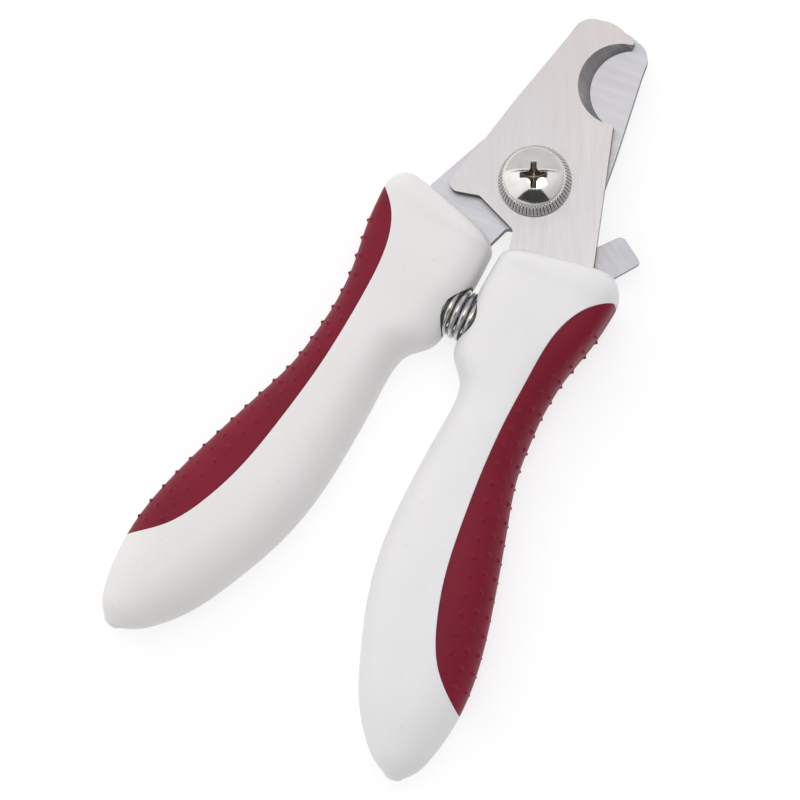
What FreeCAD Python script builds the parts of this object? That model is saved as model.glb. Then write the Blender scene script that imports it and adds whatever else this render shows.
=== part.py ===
"""Pet nail trimmer, plier type: two half-moon steel blades on one pivot, two curved
handles with soft grips, a return spring and a flick lever that locks the tool shut.

Millimetres. The tool lies flat: +Z up with z = 0 at the resting surface, +Y along the
tool's centre line towards the blade tips, +X across the handles. The origin is under
the middle of the whole tool.

Both halves share one design. The left half, with the rear blade, is the right half
turned half a turn about the centre line, so one outline serves both. Only the rear
blade's notch sits a little further out.
"""
import FreeCAD
import Part
import math
import os

from FreeCAD import Vector

# ---- driving dimensions -------------------------------------------------------------
PIVOT_Y = 43.6            # pivot axis ahead of the origin
MID_Z = 7.8               # plane where the two blades slide on each other
BLADE_THICK = 2.5
BLADE_GAP = 0.02          # running clearance on each side of the sliding plane
LEVER_RATIO = 1.2         # lock lever degrees per degree of opening

GRIP_SKIN = 2.2           # depth of the soft grip over the hard core
SECTION_POINTS = 20       # points round one handle section

SLEEVE_RADIUS = 4.0
RUNNING_CLEARANCE = 0.05
SCREW_RADIUS = 3.0
COLLAR_BASE_RADIUS = 8.1
COLLAR_TOP_RADIUS = 6.9
COLLAR_HEIGHT = 3.6
COLLAR_RIBS = 60
COLLAR_GROOVE_RADIUS = 0.28
HEAD_RADIUS = 6.55
HEAD_RIM = 0.5
HEAD_DOME = 1.7
RECESS_SPAN = 6.0
RECESS_ARM = 1.3
RECESS_DEPTH = 1.9
RECESS_TURN = 28.0        # the driver recess stopped at this angle when tightened
WASHER_RADIUS = 7.0
WASHER_THICK = 0.9
DISH_TOP_RADIUS = 6.4     # the spring washer, wide side up
DISH_FOOT_RADIUS = 5.6
NUT_FLATS = 11.0
NUT_THICK = 2.6

SPRING_Y = -32.5          # from the pivot, like every place below
SPRING_RADIUS = 4.9       # to the wire's centre
SPRING_WIRE = 0.7         # wire radius
SPRING_TURNS = 6.0
SPRING_HALF_LENGTH = 5.0
POCKET_RADIUS = 6.2
POCKET_END = 6.0
STUD_RADIUS = 3.6
STUD_TIP = 2.6

LEVER_PIVOT = (15.0, -16.2)
LEVER_THICK = 1.2
LEVER_DROP = 0.1          # the lever's top face below the sliding plane
RIVET_RADIUS = 1.6
RIVET_HEAD_RADIUS = 2.8
RIVET_HEAD_THICK = 0.8
FRICTION_GAP = 0.5        # room for the friction washer under the lever
FRICTION_THICK = 0.45
PIN_RADIUS = 1.5
PIN_BELOW = 4.5           # dowel ends from the sliding plane
PIN_ABOVE = 5.0
PIN_PLACES = [(13.0, -42.0), (15.5, -62.0)]

# Handle sections from the blade end to the tail: inner edge, outer edge, half height and
# superellipse exponent. The blade end is boxy, the palm and the tail are round.
HANDLE_STATIONS = [
    ((3.3, -15.3), (24.6, -10.6), 6.6, 3.6),
    ((2.2, -16.2), (26.4, -12.0), 7.6, 3.8),
    ((1.1, -19.0), (28.0, -17.4), 8.0, 3.9),
    ((1.0, -26.7), (27.2, -26.0), 8.1, 3.6),
    ((1.7, -36.0), (25.7, -35.2), 8.1, 2.7),
    ((2.8, -41.6), (25.4, -40.5), 8.1, 2.4),
    ((6.0, -45.0), (25.4, -44.4), 8.1, 2.3),
    ((7.6, -49.6), (25.8, -49.4), 8.1, 2.3),
    ((7.6, -57.5), (26.9, -57.5), 8.1, 2.3),
    ((7.6, -68.0), (30.0, -67.6), 8.1, 2.3),
    ((8.2, -80.0), (34.0, -79.4), 8.1, 2.3),
    ((11.2, -94.5), (38.0, -92.6), 8.1, 2.3),
    ((16.0, -106.6), (40.1, -103.8), 7.9, 2.25),
    ((20.8, -115.7), (40.1, -113.3), 7.2, 2.2),
    ((26.0, -121.8), (39.0, -119.6), 5.8, 2.15),
    ((30.0, -124.7), (37.5, -123.1), 3.8, 2.1),
    ((32.4, -125.7), (36.0, -125.0), 1.7, 2.0),
]

# The line on the handle's face where the white core meets the soft grip.
GRIP_LINE = [
    (28.4, -15.6), (23.6, -20.2), (21.4, -24.4), (20.2, -29.4), (19.8, -38.5), (19.9, -48.0),
    (20.7, -60.0), (22.3, -72.0), (24.6, -84.0), (27.9, -93.6), (32.4, -101.4), (40.6, -108.0),
]

# Blade outline corners with their radii. The tang runs on inside the handle.
BLADE_OUTLINE = [
    (4.3, 37.0, 0.3), (4.4, 35.4, 0.0), (9.4, 17.6, 0.5), (20.1, -11.0, 6.0),
    (19.9, -20.0, 4.0), (18.0, -38.0, 8.0), (20.8, -68.0, 2.5), (14.6, -69.0, 2.5),
    (9.0, -40.0, 8.0), (8.4, -27.0, 5.0), (2.6, -17.0, 3.0), (0.9, -11.5, 1.0),
    (-9.0, -8.2, 1.2), (-16.35, -10.4, 2.0), (-16.2, -6.0, 2.0), (-14.2, 2.0, 60.0),
    (-12.4, 13.5, 90.0), (-8.95, 31.5, 40.0), (-8.2, 37.0, 4.3), (-1.2, 38.7, 7.0),
]
NOTCH_EDGE = (8.85, 27.5)  # notch centre on the sliding face, where the cutting edge is
NOTCH_FACE = (6.1, 27.2)   # notch centre on the outer face
NOTCH_RADIUS = 9.1
REAR_NOTCH_OUT = 0.7       # how much further out the rear notch sits, so no gap shows when closed

LEVER_OUTLINE = [
    (21.85, -1.3, 1.6), (28.1, -4.9, 0.9), (23.6, -12.0, 3.0), (18.9, -15.6, 2.5),
    (18.7, -19.6, 3.2), (11.7, -19.6, 3.2), (11.9, -15.0, 1.5), (15.6, -11.3, 3.0),
    (17.0, -7.7, 2.0),
]
SLOT_ROOM = 0.25          # under the lever, in the lower shell
LEVER_SLOT = [
    (6.0, -8.0, 0.0), (30.5, -8.0, 0.0), (27.0, -13.2, 2.0), (20.6, -18.4, 1.0),
    (18.6, -21.6, 3.0), (10.6, -21.6, 3.0), (10.2, -12.0, 1.0),
]


# Heights that clear the whole tool, for cuts that go right through.
UNDER_ALL = -5.0
OVER_ALL = 25.0
FAR_OUT = 60.0            # beyond the handles' outer sides


# ---- helpers ------------------------------------------------------------------------
def at_pivot(shape):
    """Move a shape drawn about the pivot to its place in the tool."""
    moved = shape.copy()
    moved.translate(Vector(0, PIVOT_Y, 0))
    return moved


def half_turn(shape):
    """The left half's twin of a right-half shape: half a turn about the centre line."""
    turned = shape.copy()
    turned.rotate(Vector(0, 0, MID_Z), Vector(0, 1, 0), 180)
    return turned


def rounded_wire(corners, z):
    """Closed wire through corners (x, y, radius), each rounded with a tangent arc."""
    starts = []
    ends = []
    middles = []
    count = len(corners)
    for i in range(count):
        corner = Vector(corners[i][0], corners[i][1], z)
        before = Vector(corners[i - 1][0], corners[i - 1][1], z)
        after = Vector(corners[(i + 1) % count][0], corners[(i + 1) % count][1], z)
        to_before = (before - corner).normalize()
        to_after = (after - corner).normalize()
        half = to_before.getAngle(to_after) / 2
        radius = corners[i][2]
        setback = radius / math.tan(half)
        bisector = (to_before + to_after).normalize()
        starts.append(corner + to_before * setback)
        ends.append(corner + to_after * setback)
        middles.append(corner + bisector * (radius / math.sin(half) - radius))
    edges = []
    for i in range(count):
        if corners[i][2] > 0:
            edges.append(Part.Arc(starts[i], middles[i], ends[i]).toShape())
        following = starts[(i + 1) % count]
        if (following - ends[i]).Length > 1e-4:
            edges.append(Part.LineSegment(ends[i], following).toShape())
    return Part.Wire(edges)


def plate(corners, bottom, top):
    """Flat plate with a rounded outline."""
    face = Part.Face(rounded_wire(corners, bottom))
    return face.extrude(Vector(0, 0, top - bottom))


def disc(radius, bottom, top, x=0.0, y=0.0):
    """Upright cylinder."""
    return Part.makeCylinder(radius, top - bottom, Vector(x, y, bottom))


def hole(radius, x=0.0, y=0.0):
    """Upright cylinder that goes through everything."""
    return disc(radius, UNDER_ALL, OVER_ALL, x, y)


def slab(bottom, top):
    """Block between two heights, wider and longer than the tool."""
    return Part.makeBox(200, 300, top - bottom, Vector(-100, -200, bottom))


def handle_section(station, skin):
    """Superellipse wire of one handle section, shrunk by skin on every side."""
    inner = Vector(station[0][0], station[0][1], MID_Z)
    outer = Vector(station[1][0], station[1][1], MID_Z)
    centre = (inner + outer) * 0.5
    across = (outer - inner).normalize()
    half_width = (outer - inner).Length / 2 - skin
    half_height = station[2] - skin
    power = 2 / station[3]
    points = []
    for i in range(SECTION_POINTS):
        angle = 2 * math.pi * i / SECTION_POINTS
        side = math.copysign(abs(math.cos(angle)) ** power, math.cos(angle))
        rise = math.copysign(abs(math.sin(angle)) ** power, math.sin(angle))
        points.append(centre + across * (half_width * side) + Vector(0, 0, half_height * rise))
    curve = Part.BSplineCurve()
    curve.interpolate(Points=points, PeriodicFlag=True)
    return Part.Wire([curve.toShape()])


def handle_form(skin, stations):
    """Smooth solid through the handle's sections."""
    return Part.makeLoft([handle_section(station, skin) for station in stations], True, False)


def rested(shape):
    """Flatten whatever would dip under the resting surface."""
    return keep_largest(shape.common(slab(0, OVER_ALL)))


def keep_largest(shape):
    """The biggest solid of a cut, without slivers."""
    return max(shape.Solids, key=lambda solid: solid.Volume)


# ---- blades -------------------------------------------------------------------------
def blade(notch_out=0.0):
    """Blade with its tang: half-moon notch ground from the outer face."""
    bottom = MID_Z + BLADE_GAP
    top = MID_Z + BLADE_THICK
    body = plate(BLADE_OUTLINE, bottom, top)
    centre = Vector(NOTCH_EDGE[0] + notch_out, NOTCH_EDGE[1], MID_Z)
    edge_circle = Part.Circle(centre, Vector(0, 0, 1), NOTCH_RADIUS)
    notch_face = Part.Face(Part.Wire([edge_circle.toShape()]))
    lean = Vector(NOTCH_FACE[0] - NOTCH_EDGE[0], NOTCH_FACE[1] - NOTCH_EDGE[1], BLADE_THICK)
    notch = notch_face.extrude(lean)
    body = body.cut(notch)
    body = body.cut(hole(SLEEVE_RADIUS))
    for x, y in PIN_PLACES:
        body = body.cut(hole(PIN_RADIUS, x, y))
    return keep_largest(body)


# ---- handles ------------------------------------------------------------------------
def grip_zone():
    """Block on the outer side of the line where the grip starts."""
    line = Part.BSplineCurve()
    line.interpolate([Vector(x, y, UNDER_ALL) for x, y in GRIP_LINE])
    first = Vector(GRIP_LINE[0][0], GRIP_LINE[0][1], UNDER_ALL)
    last = Vector(GRIP_LINE[-1][0], GRIP_LINE[-1][1], UNDER_ALL)
    far_first = Vector(FAR_OUT, first.y, UNDER_ALL)
    far_last = Vector(FAR_OUT, last.y, UNDER_ALL)
    edges = [line.toShape(), Part.LineSegment(last, far_last).toShape()]
    edges.append(Part.LineSegment(far_last, far_first).toShape())
    edges.append(Part.LineSegment(far_first, first).toShape())
    return Part.Face(Part.Wire(edges)).extrude(Vector(0, 0, OVER_ALL - UNDER_ALL))


def handle_parts():
    """Right handle: soft grip and the two halves of the hard core, parted at mid height."""
    form = handle_form(0.0, HANDLE_STATIONS)
    core = handle_form(GRIP_SKIN, HANDLE_STATIONS[1:-2])
    grip = keep_largest(form.common(grip_zone()).cut(core))
    hard = keep_largest(form.cut(grip))
    hard = hard.cut(spring_seat())
    upper = hard.common(slab(MID_Z, OVER_ALL))
    lower = hard.common(slab(UNDER_ALL, MID_Z))
    tang_recess = plate(BLADE_OUTLINE, MID_Z, MID_Z + BLADE_THICK)
    upper = upper.cut(tang_recess)
    for x, y in PIN_PLACES:
        pin = tang_pin(x, y)
        upper = upper.cut(pin)
        lower = lower.cut(pin)
    return keep_largest(upper), keep_largest(lower), grip


def spring_seat():
    """Room for the spring's end: a round pocket with a stud left standing in it."""
    across = Vector(1, 0, 0)
    pocket = Part.makeCylinder(POCKET_RADIUS, 2 * POCKET_END, Vector(-POCKET_END, SPRING_Y, MID_Z), across)
    stud = Part.makeCylinder(STUD_RADIUS, POCKET_END - STUD_TIP, Vector(STUD_TIP, SPRING_Y, MID_Z), across)
    return pocket.cut(stud)


def tang_pin(x, y):
    """Dowel through both shells and the tang."""
    return disc(PIN_RADIUS, MID_Z - PIN_BELOW, MID_Z + PIN_ABOVE, x, y)


# ---- pivot --------------------------------------------------------------------------
def recess_tool(top):
    """Cross-shaped driver recess that tapers towards its floor."""
    arms = []
    for turn in (0, 90):
        long_top = RECESS_SPAN / 2
        long_floor = RECESS_SPAN / 5
        arm_top = RECESS_ARM / 2
        arm_floor = RECESS_ARM / 3
        upper = Part.makePolygon([
            Vector(-long_top, -arm_top, top), Vector(long_top, -arm_top, top),
            Vector(long_top, arm_top, top), Vector(-long_top, arm_top, top),
            Vector(-long_top, -arm_top, top)])
        floor = top - RECESS_DEPTH
        lower = Part.makePolygon([
            Vector(-long_floor, -arm_floor, floor), Vector(long_floor, -arm_floor, floor),
            Vector(long_floor, arm_floor, floor), Vector(-long_floor, arm_floor, floor),
            Vector(-long_floor, -arm_floor, floor)])
        arm = Part.makeLoft([upper, lower], True, True)
        arm.rotate(Vector(0, 0, 0), Vector(0, 0, 1), turn + RECESS_TURN)
        arms.append(arm)
    return arms[0].fuse(arms[1])


def pivot_screw():
    """Domed screw head with a driver recess, and its shank down into the nut."""
    seat = MID_Z + BLADE_THICK + COLLAR_HEIGHT
    rim = seat + HEAD_RIM
    sphere_radius = (HEAD_RADIUS ** 2 + HEAD_DOME ** 2) / (2 * HEAD_DOME)
    sphere = Part.makeSphere(sphere_radius, Vector(0, 0, rim + HEAD_DOME - sphere_radius))
    head = disc(HEAD_RADIUS, seat, rim + HEAD_DOME).common(sphere)
    head = head.cut(recess_tool(rim + HEAD_DOME))
    shank_end = MID_Z - BLADE_THICK - 2 * WASHER_THICK - NUT_THICK + 0.4
    return head.fuse(disc(SCREW_RADIUS, shank_end, seat + 0.2)).removeSplitter()


def knurled_collar():
    """Conical washer with ribs down its flank, under the screw head."""
    bottom = MID_Z + BLADE_THICK
    cone = Part.makeCone(COLLAR_BASE_RADIUS, COLLAR_TOP_RADIUS, COLLAR_HEIGHT, Vector(0, 0, bottom))
    lean = math.degrees(math.atan2(COLLAR_BASE_RADIUS - COLLAR_TOP_RADIUS, COLLAR_HEIGHT))
    groove = Part.makeCylinder(COLLAR_GROOVE_RADIUS, COLLAR_HEIGHT * 1.4, Vector(0, 0, -0.6))
    groove.rotate(Vector(0, 0, 0), Vector(0, 1, 0), -lean)
    groove.translate(Vector(COLLAR_BASE_RADIUS, 0, bottom))
    grooves = []
    for i in range(COLLAR_RIBS):
        cutter = groove.copy()
        cutter.rotate(Vector(0, 0, 0), Vector(0, 0, 1), 360 * i / COLLAR_RIBS)
        grooves.append(cutter)
    ribbed = cone.cut(Part.makeCompound(grooves))
    return ribbed.cut(hole(SCREW_RADIUS))


def pivot_sleeve():
    """Shoulder bush that both blades turn on."""
    outer = disc(SLEEVE_RADIUS, MID_Z - BLADE_THICK, MID_Z + BLADE_THICK)
    return outer.cut(hole(SCREW_RADIUS))


def rear_washer():
    """Plain washer against the rear blade."""
    top = MID_Z - BLADE_THICK - BLADE_GAP
    return disc(WASHER_RADIUS, top - WASHER_THICK, top).cut(hole(SCREW_RADIUS))


def spring_washer():
    """Shallow dished washer that keeps the blades pressed together."""
    top = MID_Z - BLADE_THICK - BLADE_GAP - WASHER_THICK
    bottom = top - WASHER_THICK
    dish = Part.makeCone(DISH_FOOT_RADIUS, DISH_TOP_RADIUS, WASHER_THICK, Vector(0, 0, bottom))
    half = WASHER_THICK / 2
    hollow = Part.makeCone(SCREW_RADIUS + half, SCREW_RADIUS + 3 * half, half, Vector(0, 0, top - half))
    return dish.cut(hollow).cut(hole(SCREW_RADIUS))


def pivot_nut():
    """Thin hexagon nut with chamfered corners."""
    top = MID_Z - BLADE_THICK - BLADE_GAP - 2 * WASHER_THICK
    bottom = top - NUT_THICK
    corner = NUT_FLATS / math.sqrt(3)
    ring = []
    for i in range(7):
        angle = math.radians(60 * i)
        ring.append(Vector(corner * math.cos(angle), corner * math.sin(angle), bottom))
    hexagon = Part.Face(Part.makePolygon(ring)).extrude(Vector(0, 0, NUT_THICK))
    rise = NUT_THICK - 0.6
    chamfer = Part.makeCone(corner - 0.8, corner + 1.2, rise, Vector(0, 0, bottom))
    straight = disc(corner + 1.2, bottom + rise, top)
    return hexagon.common(chamfer.fuse(straight)).cut(hole(SCREW_RADIUS))


# ---- lock lever ---------------------------------------------------------------------
LEVER_TOP = MID_Z - LEVER_DROP
LEVER_BOTTOM = LEVER_TOP - LEVER_THICK
RIVET_HEAD_TOP = LEVER_BOTTOM - FRICTION_GAP


def lock_lever():
    """Flat lever whose slanted edge traps the rear blade's heel; its tab sticks out."""
    body = plate(LEVER_OUTLINE, LEVER_BOTTOM, LEVER_TOP)
    return body.cut(hole(RIVET_RADIUS + RUNNING_CLEARANCE, *LEVER_PIVOT))


def lever_rivet():
    """Rivet that carries the lever under the neck of the front blade."""
    shank = disc(RIVET_RADIUS, RIVET_HEAD_TOP, MID_Z + BLADE_THICK, *LEVER_PIVOT)
    head = disc(RIVET_HEAD_RADIUS, RIVET_HEAD_TOP - RIVET_HEAD_THICK, RIVET_HEAD_TOP, *LEVER_PIVOT)
    return shank.fuse(head).removeSplitter()


def lever_washer():
    """Thin friction washer between the lever and the rivet's head."""
    ring = disc(RIVET_HEAD_RADIUS + 0.1, RIVET_HEAD_TOP, RIVET_HEAD_TOP + FRICTION_THICK, *LEVER_PIVOT)
    return ring.cut(hole(RIVET_RADIUS, *LEVER_PIVOT))


# ---- return spring ------------------------------------------------------------------
def return_spring():
    """Compression spring across the centre line, its ends over studs in both handles."""
    length = 2 * SPRING_HALF_LENGTH
    pitch = length / SPRING_TURNS
    helix = Part.makeHelix(pitch, length, SPRING_RADIUS)
    start = Vector(SPRING_RADIUS, 0, 0)
    tangent = Vector(0, 2 * math.pi * SPRING_RADIUS, pitch).normalize()
    ring = Part.Wire([Part.Circle(start, tangent, SPRING_WIRE).toShape()])
    coil = Part.Wire(helix.Edges).makePipeShell([ring], True, True)
    coil.rotate(Vector(0, 0, 0), Vector(0, 1, 0), 90)
    coil.translate(Vector(-SPRING_HALF_LENGTH, SPRING_Y, MID_Z))
    return coil


# ---- build --------------------------------------------------------------------------
def build():
    """Every piece by node name, placed in the tool."""
    upper, lower, grip = handle_parts()
    steel_blade = blade()
    rivet = lever_rivet()
    washer = lever_washer()
    front_blade = steel_blade.cut(hole(RIVET_RADIUS, *LEVER_PIVOT))
    bored_blade = blade(REAR_NOTCH_OUT).cut(hole(SLEEVE_RADIUS + RUNNING_CLEARANCE))
    pins = Part.makeCompound([tang_pin(x, y) for x, y in PIN_PLACES])
    slot = plate(LEVER_SLOT, LEVER_BOTTOM - SLOT_ROOM, MID_Z)
    rivet_room = RIVET_HEAD_THICK + FRICTION_GAP + SLOT_ROOM
    rivet_space = disc(RIVET_HEAD_RADIUS + 0.4, LEVER_BOTTOM - rivet_room, MID_Z, *LEVER_PIVOT)
    pieces = {
        "front_blade": front_blade,
        "right_upper_shell": upper,
        "right_lower_shell": rested(lower.cut(slot).cut(rivet_space)),
        "right_grip": rested(grip),
        "right_tang_pins": pins,
        "rear_blade": half_turn(bored_blade),
        "left_lower_shell": rested(half_turn(upper)),
        "left_upper_shell": half_turn(lower),
        "left_grip": rested(half_turn(grip)),
        "left_tang_pins": half_turn(pins),
        "pivot_screw": pivot_screw(),
        "knurled_collar": knurled_collar(),
        "pivot_sleeve": pivot_sleeve(),
        "rear_washer": rear_washer(),
        "spring_washer": spring_washer(),
        "pivot_nut": pivot_nut(),
        "lock_lever": lock_lever(),
        "lever_rivet": rivet,
        "lever_washer": washer,
        "return_spring": return_spring(),
    }
    return {name: at_pivot(shape) for name, shape in pieces.items()}


os.makedirs("parts", exist_ok=True)
for name, shape in build().items():
    shape.exportStep(os.path.join("parts", name + ".step"))
    box = shape.BoundBox
    print(name, shape.ShapeType, len(shape.Solids), shape.isValid(), round(shape.Volume, 1),
          [round(v, 2) for v in (box.XMin, box.XMax, box.YMin, box.YMax, box.ZMin, box.ZMax)])
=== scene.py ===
import math

import bmesh
import bpy
import numpy as np
from mathutils import Matrix, Vector


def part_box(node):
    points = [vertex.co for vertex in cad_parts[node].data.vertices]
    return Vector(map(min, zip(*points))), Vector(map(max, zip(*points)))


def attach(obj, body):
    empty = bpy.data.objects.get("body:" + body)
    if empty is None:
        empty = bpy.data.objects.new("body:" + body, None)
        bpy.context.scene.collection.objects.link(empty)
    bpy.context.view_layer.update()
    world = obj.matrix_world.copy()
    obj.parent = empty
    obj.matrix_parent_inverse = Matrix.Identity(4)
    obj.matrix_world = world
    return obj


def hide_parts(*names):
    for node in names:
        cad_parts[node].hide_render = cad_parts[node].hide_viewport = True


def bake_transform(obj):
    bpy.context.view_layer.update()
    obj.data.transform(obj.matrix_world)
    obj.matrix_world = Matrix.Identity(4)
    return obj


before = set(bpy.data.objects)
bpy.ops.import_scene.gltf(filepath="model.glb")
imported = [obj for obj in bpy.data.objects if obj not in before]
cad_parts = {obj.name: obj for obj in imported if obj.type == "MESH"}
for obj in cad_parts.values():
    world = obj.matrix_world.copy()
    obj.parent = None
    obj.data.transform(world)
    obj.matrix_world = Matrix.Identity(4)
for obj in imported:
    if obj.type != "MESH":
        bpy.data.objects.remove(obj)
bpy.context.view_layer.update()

# Looks for the pet nail trimmer. Shapes are drawn in millimetres about the pivot axis,
# with z = 0 at the resting surface, and placed by the pivot sleeve's box.
MM = 0.001
sleeve_low, sleeve_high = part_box("pivot_sleeve")
PIVOT = (sleeve_low + sleeve_high) / 2
MID_Z = PIVOT.z / MM
BLADE_TOP = sleeve_high.z / MM
BLADE_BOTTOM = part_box("front_blade")[0].z / MM
SLEEVE_RADIUS = (sleeve_high.x - sleeve_low.x) / 2 / MM
SCREW_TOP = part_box("pivot_screw")[1].z / MM
HEAD_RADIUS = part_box("pivot_screw")[1].x / MM

# ---- outlines and sections, as in the CAD --------------------------------------------
# Inner and outer edge (x, y), half height and superellipse exponent of each section.
HANDLE_STATIONS = [
    ((3.3, -15.3), (24.6, -10.6), 6.6, 3.6),
    ((2.2, -16.2), (26.4, -12.0), 7.6, 3.8),
    ((1.1, -19.0), (28.0, -17.4), 8.0, 3.9),
    ((1.0, -26.7), (27.2, -26.0), 8.1, 3.6),
    ((1.7, -36.0), (25.7, -35.2), 8.1, 2.7),
    ((2.8, -41.6), (25.4, -40.5), 8.1, 2.4),
    ((6.0, -45.0), (25.4, -44.4), 8.1, 2.3),
    ((7.6, -49.6), (25.8, -49.4), 8.1, 2.3),
    ((7.6, -57.5), (26.9, -57.5), 8.1, 2.3),
    ((7.6, -68.0), (30.0, -67.6), 8.1, 2.3),
    ((8.2, -80.0), (34.0, -79.4), 8.1, 2.3),
    ((11.2, -94.5), (38.0, -92.6), 8.1, 2.3),
    ((16.0, -106.6), (40.1, -103.8), 7.9, 2.25),
    ((20.8, -115.7), (40.1, -113.3), 7.2, 2.2),
    ((26.0, -121.8), (39.0, -119.6), 5.8, 2.15),
    ((30.0, -124.7), (37.5, -123.1), 3.8, 2.1),
    ((32.4, -125.7), (36.0, -125.0), 1.7, 2.0),
]
# Where the grip starts on the handle.
GRIP_LINE = [
    (28.4, -15.6), (23.6, -20.2), (21.4, -24.4), (20.2, -29.4), (19.8, -38.5), (19.9, -48.0),
    (20.7, -60.0), (22.3, -72.0), (24.6, -84.0), (27.9, -93.6), (32.4, -101.4), (40.6, -108.0),
]
# Corners (x, y) with their radii; the tang runs on inside the handle.
BLADE_OUTLINE = [
    (4.3, 37.0, 0.3), (4.4, 35.4, 0.0), (9.4, 17.6, 0.5), (20.1, -11.0, 6.0),
    (19.9, -20.0, 4.0), (18.0, -38.0, 8.0), (20.8, -68.0, 2.5), (14.6, -69.0, 2.5),
    (9.0, -40.0, 8.0), (8.4, -27.0, 5.0), (2.6, -17.0, 3.0), (0.9, -11.5, 1.0),
    (-9.0, -8.2, 1.2), (-16.35, -10.4, 2.0), (-16.2, -6.0, 2.0), (-14.2, 2.0, 60.0),
    (-12.4, 13.5, 90.0), (-8.95, 31.5, 40.0), (-8.2, 37.0, 4.3), (-1.2, 38.7, 7.0),
]
NOTCH_EDGE = (8.85, 27.5)   # notch centre on the sliding face
NOTCH_FACE = (6.1, 27.2)    # notch centre on the outer face
NOTCH_RADIUS = 9.1
REAR_NOTCH_OUT = 0.7        # how much further out the rear notch sits
LEVER_OUTLINE = [
    (21.85, -1.3, 1.6), (28.1, -4.9, 0.9), (23.6, -12.0, 3.0), (18.9, -15.6, 2.5),
    (18.7, -19.6, 3.2), (11.7, -19.6, 3.2), (11.9, -15.0, 1.5), (15.6, -11.3, 3.0),
    (17.0, -7.7, 2.0),
]
LEVER_SLOT = [
    (6.0, -8.0, 0.0), (30.5, -8.0, 0.0), (27.0, -13.2, 2.0), (20.6, -18.4, 1.0),
    (18.6, -21.6, 3.0), (10.6, -21.6, 3.0), (10.2, -12.0, 1.0),
]
GRIP_SKIN = 2.2
SPRING_Y = -32.5
POCKET_RADIUS = 6.2
POCKET_END = 6.0
STUD_RADIUS = 3.6
STUD_TIP = 2.6
PIN_PLACES = [(13.0, -42.0), (15.5, -62.0)]
PIN_RADIUS = 1.5
SCREW_RADIUS = 3.0
HEAD_RIM = 0.5
HEAD_DOME = 1.7
RECESS_REACH = 3.05
RECESS_ARM = 0.64
RECESS_FLARE = 1.25
RECESS_TURN = 28.0
COLLAR_BASE_RADIUS = 8.1
COLLAR_TOP_RADIUS = 6.9
COLLAR_RIBS = 60
RIB_DEPTH = 0.34
SPRING_RADIUS = 4.9
SPRING_WIRE = 0.7
SPRING_TURNS = 6
SPRING_HALF_LENGTH = 5.0
LEVER_PIVOT = (15.0, -16.2)
RIVET_RADIUS = 1.6
RIVET_HEAD_THICK = 0.8
RUNNING_CLEARANCE = 0.05
SLOT_ROOM = 0.25
OVER_ALL = 20.0             # height that clears the whole tool
HEAD_BALL = (HEAD_RADIUS ** 2 + HEAD_DOME ** 2) / (2 * HEAD_DOME)   # radius of the screw's dome
RECESS_FLOOR = 2.1          # below the top of the dome


# ---- numbers -------------------------------------------------------------------------
def spline(knots, values, places):
    """Natural cubic spline through values at knots, read at places."""
    knots = np.asarray(knots, float)
    values = np.asarray(values, float)
    places = np.asarray(places, float)
    steps = np.diff(knots)
    slopes = np.diff(values, axis=0) / steps[:, None]
    count = len(knots)
    matrix = np.eye(count)
    right = np.zeros_like(values)
    for i in range(1, count - 1):
        matrix[i, i - 1:i + 2] = steps[i - 1], 2 * (steps[i - 1] + steps[i]), steps[i]
        right[i] = 6 * (slopes[i] - slopes[i - 1])
    bend = np.linalg.solve(matrix, right)
    k = np.clip(np.searchsorted(knots, places) - 1, 0, count - 2)
    a = ((knots[k + 1] - places) / steps[k])[:, None]
    b = 1 - a
    cubic = ((a ** 3 - a) * bend[k] + (b ** 3 - b) * bend[k + 1]) * (steps[k] ** 2)[:, None] / 6
    return a * values[k] + b * values[k + 1] + cubic


def chord_lengths(points):
    """Distance along a row of points."""
    gaps = np.linalg.norm(np.diff(np.asarray(points, float), axis=0), axis=1)
    return np.concatenate([[0.0], np.cumsum(gaps)])


def rounded_outline(corners, step=6.0):
    """Closed outline through corners (x, y, radius), with arcs in steps of some degrees."""
    outline = []
    count = len(corners)
    for i in range(count):
        corner = Vector(corners[i][:2])
        to_before = (Vector(corners[i - 1][:2]) - corner).normalized()
        to_after = (Vector(corners[(i + 1) % count][:2]) - corner).normalized()
        radius = corners[i][2]
        if radius == 0:
            outline.append(corner)
            continue
        half = to_before.angle(to_after) / 2
        start = corner + to_before * (radius / math.tan(half))
        centre = corner + (to_before + to_after).normalized() * (radius / math.sin(half))
        sweep = math.pi - 2 * half
        if to_before.cross(to_after) > 0:
            sweep = -sweep
        pieces = max(2, math.ceil(math.degrees(abs(sweep)) / step))
        for j in range(pieces + 1):
            outline.append(centre + Matrix.Rotation(sweep * j / pieces, 2) @ (start - centre))
    return outline


# ---- meshes --------------------------------------------------------------------------
def new_object(name, points, faces, merge=0.004):
    """Mesh object from points in millimetres about the pivot, faces turned outwards."""
    points = np.asarray(points, float) + (0.0, PIVOT.y / MM, 0.0)
    mesh = bpy.data.meshes.new(name)
    mesh.from_pydata((points * MM).tolist(), [], faces)
    tidy = bmesh.new()
    tidy.from_mesh(mesh)
    bmesh.ops.remove_doubles(tidy, verts=tidy.verts, dist=merge * MM)
    bmesh.ops.dissolve_degenerate(tidy, edges=tidy.edges, dist=merge * MM)
    if tidy.calc_volume(signed=True) < 0:
        bmesh.ops.reverse_faces(tidy, faces=tidy.faces)
    tidy.to_mesh(mesh)
    tidy.free()
    obj = bpy.data.objects.new(name, mesh)
    bpy.context.scene.collection.objects.link(obj)
    return obj


def smooth(obj, angle=32.0):
    """Smooth shading with edges sharper than an angle kept crisp."""
    obj.data.shade_smooth()
    obj.data.set_sharp_from_angle(angle=math.radians(angle))
    for face in obj.data.polygons:
        face.use_smooth = len(face.vertices) < 5


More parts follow.
